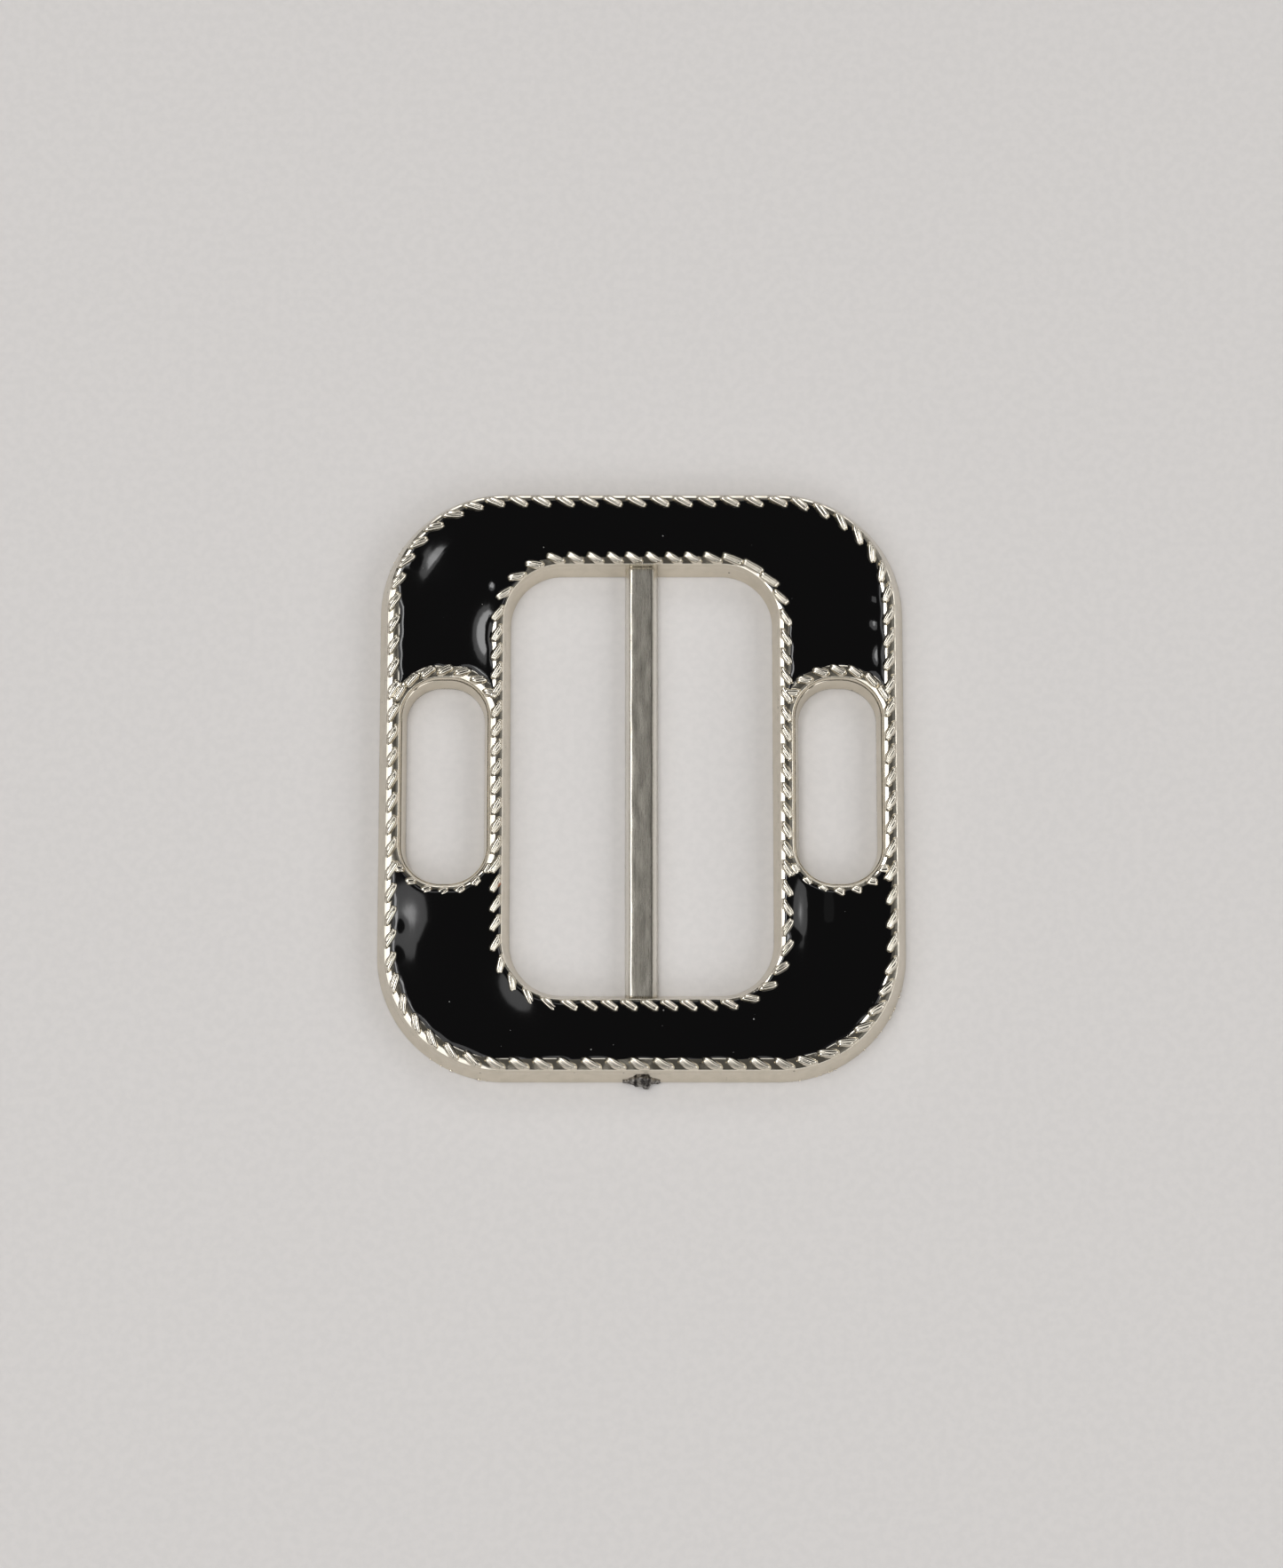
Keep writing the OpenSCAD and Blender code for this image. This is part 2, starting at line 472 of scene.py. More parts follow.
@dataclass(frozen=True)
class PlatedFinish:
    """Bright, slightly warm plating over a cast skin.

    Attributes:
        name: The material's name.
        colour: Mirror colour of the plating.
        dull: Mirror colour where it has dulled.
        flank: Mirror colour of the steep sides, which the polishing wheel doesn't reach.
        roughness: Roughness where it is brightest and where it is dullest.
        wave: Height of the cast waves, in millimetres.
        pits: Share of the speck cells that are plating pits.
        wear: Place and radius of a spot worn through to the copper layer, if there is one.
    """

    name: str
    colour: Colour = (0.86, 0.81, 0.71)
    dull: Colour = (0.66, 0.61, 0.5)
    # flank: Mirror colour of the steep sides, darker as painted shade for the darker room they reflect.
    flank: Colour = (0.74, 0.68, 0.57)
    roughness: tuple[float, float] = (0.08, 0.2)
    wave: float = 0.012
    pits: float = 0.03
    wear: tuple[float, float, float, float] | None = None

    def material(self) -> bpy.types.Material:
        """Builds the material."""
        material, graph, shader = principled(self.name)
        skin = placed(graph, waviness(), {"Wave scale": 0.6, "Peel scale": 5.0, "Peel amount": 0.12})
        pits = placed(graph, specks(), {"Scale": 2.5, "Size": 0.28, "Share": self.pits})
        place = graph.millimetres()
        cloud = graph.add("ShaderNodeTexNoise", {"Vector": place, "Scale": 0.9, "Detail": 4.0}).outputs[0]
        haze = graph.span(cloud, 0.42, 0.68)
        # Painted shade: faces that lean away from straight up take the darker flank colour.
        facing = graph.add("ShaderNodeNewGeometry").outputs["True Normal"]
        upward = graph.math("ABSOLUTE", graph.add("ShaderNodeSeparateXYZ", {"Vector": facing}).outputs["Z"])
        facing_shade = graph.mix(graph.span(upward, 0.4, 0.7), self.flank, self.colour)
        tint = graph.mix(graph.math("MULTIPLY", haze, 0.45), facing_shade, self.dull)
        tint = graph.mix(pits.outputs["Mask"], tint, (0.2, 0.18, 0.15))
        if self.wear:
            x, y, z, radius = self.wear
            spot = placed(graph, worn_spot(), {"X": x, "Y": y, "Z": z, "Radius": radius})
            tint = graph.mix(spot.outputs["Mask"], tint, (0.5, 0.23, 0.13))
        graph.paint(shader, Base_Color=tint, Roughness=graph.span(haze, 0.0, 1.0, *self.roughness))
        graph.bump(shader, skin.outputs["Height"], self.wave)
        shader.inputs["Metallic"].default_value = 1.0
        return material


@dataclass(frozen=True)
class RubbedBarFinish:
    """Satin plating with streaks along the bar and dark specks.

    Attributes:
        name: The material's name.
        colour: Mirror colour of the streaks' crests.
        dark: Mirror colour between them.
        flank: Mirror colour of the bar's sides, lighter as painted reflection of the pale floor.
        roughness: Roughness of crests and of the ground between them.
        scratch: Depth of the streaks, in millimetres.
    """

    name: str
    colour: Colour = (0.475, 0.45, 0.395)
    dark: Colour = (0.43, 0.405, 0.355)
    flank: Colour = (0.84, 0.81, 0.74)
    roughness: tuple[float, float] = (0.25, 0.3)
    scratch: float = 0.0015

    def material(self) -> bpy.types.Material:
        """Builds the material."""
        material, graph, shader = principled(self.name)
        drawn = placed(graph, streaks(), {"Scale": 6.0, "Stretch": 0.035})
        pits = placed(graph, specks(), {"Scale": 5.0, "Size": 0.33, "Share": 0.1})
        tint = graph.mix(drawn.outputs["Mask"], self.dark, self.colour)
        tint = graph.mix(graph.math("MULTIPLY", pits.outputs["Mask"], 0.7), tint, (0.1, 0.095, 0.09))
        # Painted reflection: faces that lean away from straight up take the lighter flank colour.
        facing = graph.add("ShaderNodeNewGeometry").outputs["True Normal"]
        upward = graph.add("ShaderNodeSeparateXYZ", {"Vector": facing}).outputs["Z"]
        tint = graph.mix(graph.span(upward, 0.3, 0.8), self.flank, tint)
        rough = graph.span(drawn.outputs["Height"], 0.35, 0.65, self.roughness[1], self.roughness[0])
        graph.paint(shader, Base_Color=tint, Roughness=rough)
        graph.bump(shader, drawn.outputs["Height"], self.scratch)
        shader.inputs["Metallic"].default_value = 1.0
        return material


@dataclass(frozen=True)
class EnamelFinish:
    """Glossy poured enamel with dust on it.

    Attributes:
        name: The material's name.
        colour: Body colour.
        dust: Colour of the dust.
        ripple: Height of the long ripples, in millimetres.
    """

    name: str
    colour: Colour = (0.0018, 0.0018, 0.0022)
    dust: Colour = (0.3, 0.3, 0.29)
    ripple: float = 0.02

    def material(self) -> bpy.types.Material:
        """Builds the material."""
        material, graph, shader = principled(self.name)
        dust = placed(graph, specks(), {"Scale": 1.1, "Size": 0.075, "Share": 0.25})
        skin = placed(graph, waviness(), {"Wave scale": 0.16, "Peel scale": 1.2, "Peel amount": 0.04})
        tint = graph.mix(dust.outputs["Mask"], self.colour, self.dust)
        rough = graph.math("MULTIPLY_ADD", dust.outputs["Mask"], 0.5, 0.06)
        graph.paint(shader, Base_Color=tint, Roughness=rough)
        graph.bump(shader, skin.outputs["Height"], self.ripple)
        shader.inputs["IOR"].default_value = 1.52
        return material


@dataclass(frozen=True)
class FractureFinish:
    """Dull, grainy broken metal.

    Attributes:
        name: The material's name.
        colour: Colour of the crystal faces.
        dark: Colour of the painted shade in the hollows.
        relief: Height of the crystal faces, in millimetres.
    """

    name: str
    colour: Colour = (0.36, 0.34, 0.32)
    dark: Colour = (0.05, 0.045, 0.045)
    relief: float = 0.08

    def material(self) -> bpy.types.Material:
        """Builds the material."""
        material, graph, shader = principled(self.name)
        place = graph.millimetres()
        grain = graph.add("ShaderNodeTexVoronoi", {"Vector": place, "Scale": 7.0})
        cloud = graph.add("ShaderNodeTexNoise", {"Vector": place, "Scale": 3.0, "Detail": 6.0}).outputs[0]
        # Painted shade: the dark colour goes where the noise is low, which is also where the bump sinks.
        tint = graph.mix(graph.span(cloud, 0.38, 0.62), self.dark, self.colour)
        graph.paint(shader, Base_Color=tint, Roughness=graph.span(cloud, 0.3, 0.7, 0.65, 0.4))
        graph.bump(shader, graph.math("ADD", grain.outputs["Distance"], cloud), self.relief)
        shader.inputs["Metallic"].default_value = 0.85
        return material


@dataclass(frozen=True)
class PaperFinish:
    """Pale matt paper for the floor.

    Attributes:
        name: The material's name.
        colour: Colour of the paper.
        shade: Colour of its fibres' darker patches.
        nap: Height of its fibres, in millimetres.
    """

    name: str
    colour: Colour = (0.78, 0.755, 0.742)
    shade: Colour = (0.755, 0.732, 0.72)
    nap: float = 0.02

    def material(self) -> bpy.types.Material:
        """Builds the material."""
        material, graph, shader = principled(self.name)
        place = graph.millimetres()
        fibre = graph.add("ShaderNodeTexNoise", {"Vector": place, "Scale": 1.3, "Detail": 5.0}).outputs[0]
        tint = graph.mix(graph.span(fibre, 0.35, 0.65), self.shade, self.colour)
        graph.paint(shader, Base_Color=tint)
        graph.bump(shader, fibre, self.nap)
        shader.inputs["Roughness"].default_value = 0.9
        shader.inputs["Specular IOR Level"].default_value = 0.2
        return material


def dress(piece: bpy.types.Object, material: bpy.types.Material, slot: str, *nodes: str) -> None:
    """Gives a piece its material and its place in the model.

    Args:
        piece: The finished piece.
        material: Its material.
        slot: Not used.
        *nodes: The solids that it stands for.
    """
    piece.data.materials.clear()
    piece.data.materials.append(material)
    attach(piece, BODY)
    if nodes:
        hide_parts(*nodes)
    LOG.info("%s: %d faces", piece.name, len(piece.data.polygons))


# ---------------------------------------------------------------------------------------------
# The casting
# ---------------------------------------------------------------------------------------------


@dataclass(frozen=True)
class Land:
    """The raised land that follows every edge of the casting's front.

    Attributes:
        outer: Outline of its outer edge.
        openings: Outlines of the window and the slots.
        height: Height of its edges above the back face.
        width: Its width.
        crown: How much higher its middle is.
        fall: Slope outside its edges, steeper than any wall, so that what is there stays inside.
        tray_depth: Depth of the trays beyond it.
    """

    outer: RoundedRect
    openings: tuple[RoundedRect, ...]
    height: float
    width: float = 1.1
    crown: float = 0.09
    fall: float = 4.5
    tray_depth: float = 0.9

    def inset(self, x: np.ndarray, y: np.ndarray) -> np.ndarray:
        """Returns how far points lie inside the metal from the nearest edge."""
        gaps = [-self.outer.distance(x, y)] + [hole.distance(x, y) for hole in self.openings]
        return np.minimum.reduce(gaps)

    def surface(self, x: np.ndarray, y: np.ndarray) -> np.ndarray:
        """Returns the casting's height at points on or near the land."""
        d = self.inset(x, y)
        half = self.width / 2
        top = self.height + self.crown * (1 - ((d - half) / half) ** 2)
        foot = np.maximum(self.height - 3.5 * (d - self.width), self.height - self.tray_depth)
        return np.where(d < 0, self.height + self.fall * d, np.where(d > self.width, foot, top))


class Opening(Enum):
    """The openings of the frame, by where they are."""

    LEFT_SLOT = -1
    WINDOW = 0
    RIGHT_SLOT = 1


@dataclass
class Casting:
    """The frame casting: its walls, land and back.

    Attributes:
        outer_draft: How far the outer wall leans out down to the back face.
        opening_draft: How far each opening narrows down to the back face.
        corner_r: Corner radius of the land's outer edge.
        window: Width, length and corner radius of the window at the land.
        slot: Width, length and corner radius of each slot at the land.
        slot_shift: Height of the slots' middle above the window's.
        edge: Softened edge along every crease.
        seam_drop: How far below the land the die's parting seam runs.
        step: Spacing of points along straight edges.
        corner_steps: Steps around each corner.
    """

    outer_draft: float = 0.8
    opening_draft: float = 0.64
    corner_r: float = 10.7
    window: tuple[float, float, float] = (25.1, 40.0, 5.35)
    slot: tuple[float, float, float] = (8.3, 19.3, 3.8)
    slot_shift: float = -0.15
    edge: float = 0.03
    seam_drop: float = 0.75
    step: float = 0.4
    corner_steps: int = 26
    land: Land = field(init=False)

    def __post_init__(self) -> None:
        """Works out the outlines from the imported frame's box."""
        low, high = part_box("frame")
        width, length = ((high[i] - low[i]) / MM - 2 * self.outer_draft for i in (0, 1))
        outer = RoundedRect(width, length, self.corner_r)
        slot_x = width / 2 - Land.width - self.slot[0] / 2
        slots = tuple(RoundedRect(*self.slot, side * slot_x, self.slot_shift) for side in (-1, 1))
        self.land = Land(outer, (RoundedRect(*self.window), *slots), high[2] / MM)

    def opening(self, which: Opening) -> RoundedRect:
        """Returns the outline of one opening at the land."""
        return self.land.openings[{Opening.WINDOW: 0, Opening.LEFT_SLOT: 1, Opening.RIGHT_SLOT: 2}[which]]

    def lipped_wall(self, draft: float) -> list[tuple[float, float]]:
        """Lays out a slot wall's profile, which has a rounded lip over a fine ledge.

        Args:
            draft: How far the wall leans.

        Returns:
            Offset and height of each loop.
        """
        top, e = self.land.height, self.edge
        places = [(0.0, top), (0.02, top - 0.015), (0.08, top - 0.09), (0.15, top - 0.22), (0.2, top - 0.38)]
        places += [(0.21, top - 0.42), (0.28, top - 0.43), (0.295, top - 0.47)]
        lean = (draft - 0.295) / (top - 0.47)
        places += [(0.295 + lean * drop, top - 0.47 - drop) for drop in (0.03, 0.2, 0.6, 1.0, 1.5, 1.9)]
        places += [(draft - 0.6 * e, 0.6 * e), (draft - 2 * e, 0.0), (draft - 5 * e, 0.0)]
        return [(-offset, z) for offset, z in places]

    def wall(self, draft: float, away: int) -> list[tuple[float, float]]:
        """Lays out a wall's profile from the land's edge down to the back face.

        Args:
            draft: How far the wall leans.
            away: 1 for the outer wall, -1 for an opening's wall.

        Returns:
            Offset and height of each loop.
        """
        top, e = self.land.height, self.edge
        lean = draft / top
        seam = top - self.seam_drop
        places = [(0.0, top), (0.4 * e, top - 0.5 * e), (0.7 * e, top - 1.4 * e)]
        places += [(lean * (top - z), z) for z in (top - 3 * e, top - 6 * e, seam + 3 * e, seam + e)]
        places += [(lean * (top - seam) + 0.5 * e, seam)]
        places += [(lean * (top - z), z) for z in (seam - e, seam - 3 * e, seam / 2, 6 * e, 2 * e)]
        places += [(draft - 0.6 * e, 0.6 * e), (draft - 2 * e, 0.0), (draft - 5 * e, 0.0)]
        return [(away * offset, z) for offset, z in places]

    def build(self) -> bpy.types.Object:
        """Builds the casting as one closed mesh."""
        mesh = MeshBuilder()
        outlines = [(self.land.outer, 1, self.outer_draft)]
        outlines += [(hole, -1, self.opening_draft) for hole in self.land.openings]
        rims, backs, rings = [], [], []
        for outline, away, draft in outlines:
            counts = outline.counts(self.step, self.corner_steps)
            is_slot = outline in self.land.openings[1:]
            profile = self.lipped_wall(draft) if is_slot else self.wall(draft, away)
            mesh.skin(outline, profile, counts)
            rims.append(outline.loop(counts))
            backs.append(outline.grown(profile[-1][0]).loop(counts))
            for inset in (0.03, 0.1, 0.22, 0.36, 0.55, 0.74, 0.88, 1.0, 1.09, 1.12, 1.2, 1.35, 1.6):
                ring = outline.grown(-away * inset).loop(counts)
                nearest = self.land.inset(ring[:, 0], ring[:, 1])
                rings.append(ring[nearest > inset - 0.02])
        bounds = [len(rim) for rim in rims]
        mesh.sheet(np.vstack(rims + rings), bounds, lambda x, y: self.land.inset(x, y) > 0, self.land.surface)
        mesh.sheet(np.vstack(backs), bounds, self.on_back, lambda x, y: np.zeros(len(x)))
        return mesh.build("casting")

    def on_back(self, x: np.ndarray, y: np.ndarray) -> np.ndarray:
        """Says which points lie on the flat of the back face."""
        margin = 5 * self.edge
        outside = self.land.outer.grown(self.outer_draft - margin).distance(x, y)
        holes = [hole.grown(margin - self.opening_draft).distance(x, y) for hole in self.land.openings]
        return (outside < 0) & (np.minimum.reduce(holes) > 0)


@dataclass
class CentreBar:
    """The bar across the window that the belt turns around.

    Attributes:
        top_w: Width of its top face.
        base_w: Width of its base.
        lean: How far its ends draw in for each unit down, with the window's drafted wall.
        step: Spacing of its cross-sections.
        sway: Unevenness of its faces.
    """

    top_w: float = 2.2
    base_w: float = 3.0
    lean: float = 0.246
    step: float = 0.25
    sway: float = 0.02

    def build(self) -> bpy.types.Object:
        """Builds the bar as a swept section with softened edges and slightly uneven faces."""
        low, high = ([c / MM for c in corner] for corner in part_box("centre_bar"))
        height = high[2]
        half_top, half_base, e = self.top_w / 2, self.base_w / 2, 0.07
        right = [
            (half_base - 0.06, 0.0), (half_base - 0.01, 0.02), (half_base, 0.07),
            (half_top + 0.1, height - 0.3), (half_top + 0.02, height - 0.12),
            (half_top - 0.03, height - 0.04), (half_top - 0.1, height - 0.008),
        ]
        across = [half_top * (1 - 0.25 * i) for i in range(1, 8)]
        top = [(x, height) for x in across if abs(x) < half_top - e]
        section = right + top + [(-x, z) for x, z in reversed(right)]
        under = [(-half_base + 0.2 + 0.4 * i, 0.0) for i in range(7)]
        section += under
        stations = np.linspace(low[1], high[1], round((high[1] - low[1]) / self.step) + 1)
        points, faces, n = [], [], len(section)
        for y in stations:
            for x, z in section:
                drift = noise.noise(Vector((x * 0.8, y * 0.35, z))) * self.sway
                lift = noise.noise(Vector((x * 1.4 + 9, y * 0.5, z))) * self.sway
                reach = 1 - self.lean * (height - z) / high[1]
                points.append((x + drift * (z > 0), y * reach, max(0.0, min(height, z + lift * (z > 0.5)))))
        for j in range(len(stations) - 1):
            faces += [
                (j * n + i, j * n + (i + 1) % n, (j + 1) * n + (i + 1) % n, (j + 1) * n + i) for i in range(n)
            ]
        faces += [tuple(range(n)), tuple((len(stations) - 1) * n + i for i in range(n))]
        mesh = MeshBuilder()
        mesh.add(points, faces)
        return mesh.build("centre_bar_rubbed")


# ---------------------------------------------------------------------------------------------
# Rope borders
# ---------------------------------------------------------------------------------------------


@dataclass(frozen=True)
class Rib:
    """One rope rib: a main strand with a lower strand along one side.

    Attributes:
        x: Middle along X.
        y: Middle along Y.
        heading: Direction of its length, in radians.
        lay: Side of the lower strand: 1 for the left of the heading, -1 for the right.
        length: Its length.
        breadth: Its breadth at the foot.
        height: Height of the main strand above the land.
        root: How far below the land its buried skirt may reach.
    """

    x: float
    y: float
    heading: float
    lay: int = 1
    length: float = 1.75
    breadth: float = 0.84
    height: float = 0.33
    root: float = 1.5

    def rise(self, u: np.ndarray, v: np.ndarray) -> np.ndarray:
        """Returns the height above the land at places along and across the rib."""
        total = np.zeros_like(u)
        for offset, radius, height, short in ((-0.1, 0.3, self.height, 0.0), (0.2, 0.22, 0.26, 0.12)):
            reach = max(self.length / 2 - radius - short, 0.05)
            far = np.hypot(np.maximum(np.abs(u) - reach, 0), v - self.lay * offset) / radius
            strand = height * np.maximum(1 - far**2, 0) ** 0.85
            total = np.maximum(total, strand)
        return total

    def add_to(self, mesh: MeshBuilder, land: Land) -> None:
        """Adds the rib to a mesh as a fine grid that rests on the land.

        Args:
            mesh: The border's mesh.
            land: The surface that it stands on.
        """
        bend = np.sin(np.linspace(-math.pi / 2, math.pi / 2, 17))
        along = bend * self.length / 2
        across = np.linspace(-1, 1, 19) * self.breadth / 2
        u, v = (g.ravel() for g in np.meshgrid(along, across, indexing="ij"))
        v = v * np.sqrt(np.maximum(1 - np.abs(u / (self.length / 2)) ** 4, 0.01))
        cos, sin = math.cos(self.heading), math.sin(self.heading)
        x, y = self.x + u * cos - v * sin, self.y + u * sin + v * cos
        rise = self.rise(u, v) * ease(land.inset(x, y), 0.01, 0.14)
        sunk = np.where(rise > 0, rise, -0.02)
        z = np.maximum(land.surface(x, y), land.height - self.root) + sunk
        n = len(across)
        faces = [
            (i * n + j, (i + 1) * n + j, (i + 1) * n + j + 1, i * n + j + 1)
            for i in range(len(along) - 1)
            for j in range(n - 1)
        ]
        mesh.add(list(zip(x, y, z)), faces)


@dataclass
class OuterRope:
    """The rope border along the casting's outer edge.

    Attributes:
        count: Number of ribs.
        start: Distance of the first rib from the foot of the left side.
        left_count: Number of gaps on the left side.
        left_pitch: Distance between ribs there, closer than on the rest.
        lean: Angle between a rib and its edge, in degrees.
    """

    count: int = 84
    start: float = 1.18
    left_count: int = 17
    left_pitch: float = 2.07
    lean: float = 33.0

    def ribs(self, land: Land) -> list[Rib]:
        """Lays the ribs out clockwise, each leaning inwards and forwards."""
        shake = random.Random(11)
        rest = (land.outer.perimeter - self.left_count * self.left_pitch) / (self.count - self.left_count)
        made = []
        for k in range(self.count):
            s = self.start + min(k, self.left_count) * self.left_pitch + max(k - self.left_count, 0) * rest
            x, y, heading = land.outer.walk(s + shake.uniform(-0.04, 0.04))
            inward = heading - math.pi / 2
            depth = land.width / 2 + shake.uniform(-0.02, 0.03)
            lean = math.radians(self.lean + shake.uniform(-2, 2))
            made.append(Rib(
                x + depth * math.cos(inward), y + depth * math.sin(inward), heading - lean,
                length=2.15 + shake.uniform(-0.06, 0.06), breadth=0.92,
            ))
        return made


@dataclass
class WindowRope:
    """The rope border around the window, which leans the other way along the right side.

    Attributes:
        count: Number of ribs.
        start: Distance of the first rib from the foot of the left side.
        lean: Angle between a rib and its edge, in degrees.
        turn_over: Where the lean starts to turn over, and where it has.
        turn_back: Where it turns back.
    """

    count: int = 68
    start: float = 1.5
    lean: float = 36.0
    turn_over: tuple[float, float] = (50.5, 59.0)
    turn_back: float = 88.7

    def ribs(self, land: Land) -> list[Rib]:
        """Lays the ribs out clockwise around the window."""
        shake = random.Random(12)
        window = land.openings[0]
        made = []
        for k in range(self.count):
            s = self.start + k * window.perimeter / self.count
            x, y, heading = window.walk(s + shake.uniform(-0.04, 0.04))
            outward = heading + math.pi / 2
            first, last = self.turn_over
            over = min(max((s - first) / (last - first), 0.0), 1.0) if s < self.turn_back else 0.0
            lean = math.radians((2 * over - 1) * self.lean + shake.uniform(-2, 2))
            depth = land.width / 2 + shake.uniform(-0.02, 0.02)
            longer = 0.35 * max(0.0, 1 - abs(2 * over - 1))
            made.append(Rib(
                x + depth * math.cos(outward), y + depth * math.sin(outward), heading + lean,
                lay=-1, length=1.95 + longer + shake.uniform(-0.05, 0.05),
            ))
        return made


@dataclass
class SlotRope:
    """The rope borders around the two ends of one slot.

    Attributes:
        which: The slot.
        count: Number of ribs at each end.
        pitch: Distance between them.
        lean: Angle of the middle rib to the edge, in degrees.
    """

    which: Opening
    count: int = 7
    pitch: float = 1.42
    lean: float = 30.0

    def ribs(self, land: Land) -> list[Rib]:
        """Lays the ribs out around both ends; the right slot mirrors the left."""
        shake = random.Random(13 + self.which.value)
        slot = land.openings[1 if self.which is Opening.LEFT_SLOT else 2]
        side, top = slot.length - 2 * slot.radius, slot.width - 2 * slot.radius
        middle = side + math.pi * slot.radius / 2 + top / 2
        mirror = -1 if self.which is Opening.RIGHT_SLOT else 1
        made = []
        for end in (0, 1):
            for k in range(self.count):
                s = middle + end * slot.perimeter / 2 + (k - (self.count - 1) / 2) * self.pitch
                x, y, heading = slot.walk(s)
                outward = heading + math.pi / 2
                low = end == 1
                out = 0.42 if low else 0.6
                x, y = x + out * math.cos(outward), y + out * math.sin(outward)
                turn = heading - math.pi * end
                fan = math.pi * end + turn / 2 + math.radians(self.lean + shake.uniform(-3, 3))
                if mirror < 0:
                    x, fan = 2 * slot.x - x, math.pi - fan
                size = {"length": 1.15, "breadth": 0.7, "height": 0.2} if low else {"length": 1.75}
                made.append(Rib(x, y, fan, **size))
        return made


@dataclass
class RopeBorder:
    """One rope border as a single piece.

    Attributes:
        name: The piece's name.
        node: The solid that it stands for.
        layout: Gives the ribs.
    """

    name: str
    node: str
    layout: OuterRope | WindowRope | SlotRope

    def build(self, land: Land) -> bpy.types.Object:
        """Builds all ribs of the border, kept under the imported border's top."""
        mesh = MeshBuilder()
        for rib in self.layout.ribs(land):
            rib.add_to(mesh, land)
        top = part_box(self.node)[1][2] / MM
        mesh.points = [(x, y, min(z, top)) for x, y, z in mesh.points]
        return mesh.build(self.name)


# ---------------------------------------------------------------------------------------------
# Enamel, gate stub and flash
# ---------------------------------------------------------------------------------------------


@dataclass(frozen=True)
class Swell:
    """A place where the enamel has crept up its edge.

    Attributes:
        x: Middle along X.
        y: Middle along Y.
        spread: How far it reaches along X and Y.
        rise: How much higher the enamel stands.
        turn: Angle of its long side from X, in degrees.
    """

    x: float
    y: float
    spread: tuple[float, float]
    rise: float
    turn: float = 0.0

    def lift(self, x: np.ndarray, y: np.ndarray) -> np.ndarray:
        """Returns how much the swell lifts the enamel at points."""
        angle = math.radians(self.turn)
        u = (x - self.x) * math.cos(angle) + (y - self.y) * math.sin(angle)
        v = (y - self.y) * math.cos(angle) - (x - self.x) * math.sin(angle)
        return self.rise * np.exp(-((u / self.spread[0]) ** 2) - (v / self.spread[1]) ** 2)


def ease(value: np.ndarray, low: float, high: float) -> np.ndarray:
    """Returns 0 below low, 1 above high and a smooth rise between them."""
    t = np.clip((value - low) / (high - low), 0, 1)
    return t * t * (3 - 2 * t)


@dataclass
class Shoreline:
    """Where the enamel meets the land: how much of the land it leaves bare along each edge.

    Attributes:
        contact: Slope of the enamel's surface where it meets the metal.
        film: Least thickness of the enamel that has run over the land's crown.
    """

    contact: float = 0.7
    film: float = 0.015

    def bare(self, edge: int, x: np.ndarray, y: np.ndarray) -> np.ndarray:
        """Returns the bare width at points near an edge.

        Args:
            edge: 0 for the outer edge, 1 for the window and 2 or 3 for a slot.
            x: Places along X.
            y: Places along Y.

        Returns:
            The bare width, in millimetres.
        """
        if edge == 0:
            foot = 0.62 * ease(-y, 20.0, 24.0) + 0.3 * ease(np.abs(x), 14, 20) * ease(-y, 15, 19)
            left = 0.62 * ease(-x, 20, 21.5) * ease(y, 7, 8) * ease(-y, -20, -15)
            right = 0.55 * ease(x, 20, 21.5) * ease(y, 7, 8) * ease(-y, -22, -18)
            low = 0.18 * ease(np.abs(x), 20, 21.5) * ease(-y, 7, 8)
            return 0.4 + np.minimum(foot + left + right + low, 0.66)
        if edge == 1:
            top = 0.42 * ease(y, 18.5, 20)
            left = 0.8 * ease(-x, 12, 13) * ease(y, 7, 9) * ease(-y, -16, -14)
            right = 0.75 * ease(x, 12, 13) * ease(y, 7, 9) * ease(-y, -17, -14)
            low = 0.1 * ease(x, 11, 13) * ease(-y, 7, 9) * ease(y, -18, -14)
            return 0.16 + np.minimum(top + left + right + low, 0.85)
        return np.where(y > 0, 1.0, 0.3)

    def surface(self, land: Land, swells: Sequence[Swell]) -> Callable[[np.ndarray, np.ndarray], np.ndarray]:
        """Returns the function that gives the enamel's height over points.

        Args:
            land: The land around it.
            swells: Places where it stands higher.

        Returns:
            A function from points to heights.
        """

        def height(x: np.ndarray, y: np.ndarray) -> np.ndarray:
            """Lifts the level by the swells, then brings the surface down to the nearest metal."""
            outlines = (land.outer, *land.openings)
            gaps = [np.abs(outline.distance(x, y)) for outline in outlines]
            bares = [self.bare(edge, x, y) for edge in range(len(outlines))]
            free = land.height + land.crown + self.film + sum(swell.lift(x, y) for swell in swells)
            nearest = np.argmin(gaps, axis=0)
            wander = 0.06 * np.sin(1.7 * x + 0.9 * y) + 0.04 * np.sin(3.1 * y - 1.3 * x)
            d, bare = np.choose(nearest, gaps), np.choose(nearest, bares) + wander
            wedge = land.height + land.crown * (1 - ((np.minimum(d, 1.1) - 0.55) / 0.55) ** 2)
            wedge = wedge + self.contact * (d - bare)
            gap = (wedge - free) / 0.04
            return free - 0.04 * np.log1p(np.exp(-np.clip(gap, -60, 60)))

        return height


